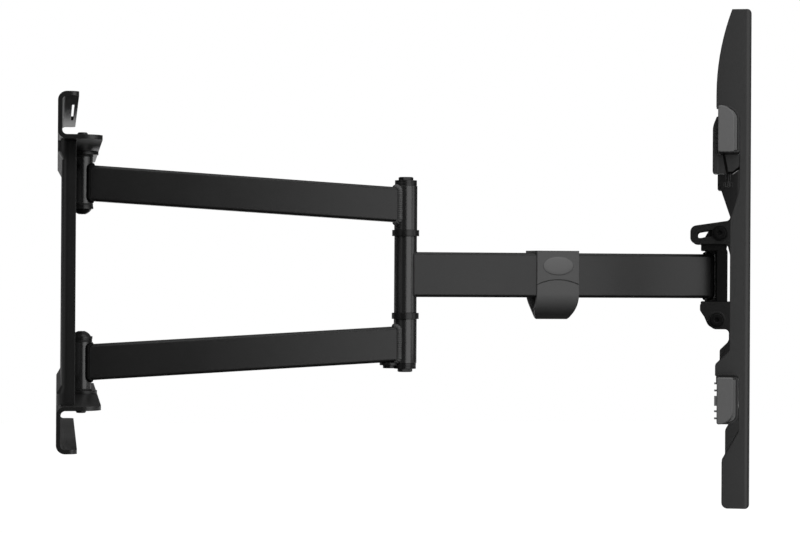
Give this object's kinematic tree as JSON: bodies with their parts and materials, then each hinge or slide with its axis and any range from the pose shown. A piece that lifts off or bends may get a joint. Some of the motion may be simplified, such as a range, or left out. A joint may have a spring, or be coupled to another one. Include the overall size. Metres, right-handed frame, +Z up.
{
  "type": "swivel tv wall mount",
  "caption": "Full-motion television wall mount: slotted wall plate, converging wall arms, forearm with cable clip, and a swivelling, tilting head with sliding brackets.",
  "frame": {"origin": "on the wall, behind the middle of the wall plate and of its lag slots", "axes": "+X out of the wall into the room, +Y along the wall, +Z up"},
  "size_m": [0.7631, 0.4605, 0.4625],
  "materials": {
    "black_powder_coat": "satin",
    "black_hardware": "semi-gloss",
    "black_nylon": "matte",
    "grey_plastic": "matte"
  },
  "bodies": {
    "wall_plate": {"upper_wall_rail": "black_powder_coat", "lower_wall_rail": "black_powder_coat", "wall_tray": "black_powder_coat", "hinge_bolts": "black_hardware", "hinge_nuts": "black_hardware", "hinge_washers": "black_hardware", "hinge_end_washers": "black_hardware"},
    "wall_arms": {"upper_hinge_tube": "black_powder_coat", "lower_hinge_tube": "black_powder_coat", "hinge_bushes": "black_nylon", "upper_arm_tube": "black_powder_coat", "lower_arm_tube": "black_powder_coat", "arm_stop_screw": "black_hardware", "upper_elbow_tube": "black_powder_coat", "lower_elbow_tube": "black_powder_coat", "elbow_rings": "black_hardware", "elbow_pin": "black_hardware", "elbow_washers": "black_hardware", "elbow_nuts": "black_hardware"},
    "forearm": {"elbow_post": "black_powder_coat", "elbow_bushes": "black_nylon", "forearm_tube": "black_powder_coat", "swivel_tube": "black_powder_coat", "swivel_bushes": "black_nylon", "cable_clip": "grey_plastic"},
    "swivel_head": {"swivel_yoke": "black_hardware", "swivel_bolt": "black_hardware", "swivel_nut": "black_hardware", "tilt_pivot_bolts": "black_hardware", "tilt_lock_bolts": "black_hardware", "tilt_washers": "black_hardware", "tilt_nuts": "black_hardware"},
    "tilt_head": {"tilt_frame": "black_hardware", "upper_head_rail": "black_powder_coat", "lower_head_rail": "black_powder_coat", "upper_rail_caps": "grey_plastic", "lower_rail_caps": "grey_plastic", "rail_screws": "black_hardware", "rail_nuts": "black_hardware"},
    "near_bracket": {"near_tv_bracket": "black_powder_coat", "near_hook_block": "black_hardware"},
    "far_bracket": {"far_tv_bracket": "black_powder_coat", "far_hook_block": "black_hardware"},
    "near_screw": {"near_thumbscrew": "black_hardware"},
    "far_screw": {"far_thumbscrew": "black_hardware"}
  },
  "joints": [
    {"name": "pan", "type": "hinge", "parent": "wall_plate", "child": "wall_arms", "pos_m": [0.024, 0, 0], "axis": [0, 0, 1], "range_deg": [-85, 85]},
    {"name": "elbow", "type": "hinge", "parent": "wall_arms", "child": "forearm", "pos_m": [0.3445, 0, 0], "axis": [0, 0, -1], "range_deg": [-105, 105]},
    {"name": "swivel", "type": "hinge", "parent": "forearm", "child": "swivel_head", "pos_m": [0.6645, 0, 0], "axis": [0, 0, 1], "range_deg": [-52, 88]},
    {"name": "tilt", "type": "hinge", "parent": "swivel_head", "child": "tilt_head", "pos_m": [0.66783, -0.00108, -0.044], "axis": [0.309, 0.9511, 0], "range_deg": [-2, 13]},
    {"name": "near_shift", "type": "slide", "parent": "tilt_head", "child": "near_bracket", "axis": [0.309, 0.9511, 0], "range_m": [-0.02, 0.08]},
    {"name": "far_shift", "type": "slide", "parent": "tilt_head", "child": "far_bracket", "axis": [-0.309, -0.9511, 0], "range_m": [-0.02, 0.08]},
    {"name": "near_thumbscrew_turn", "type": "hinge", "parent": "near_bracket", "child": "near_screw", "pos_m": [0.61715, -0.19491, 0.09], "axis": [0, 0, 1], "continuous": true},
    {"name": "far_thumbscrew_turn", "type": "hinge", "parent": "far_bracket", "child": "far_screw", "pos_m": [0.74076, 0.18551, 0.09], "axis": [0, 0, 1], "continuous": true}
  ]
}
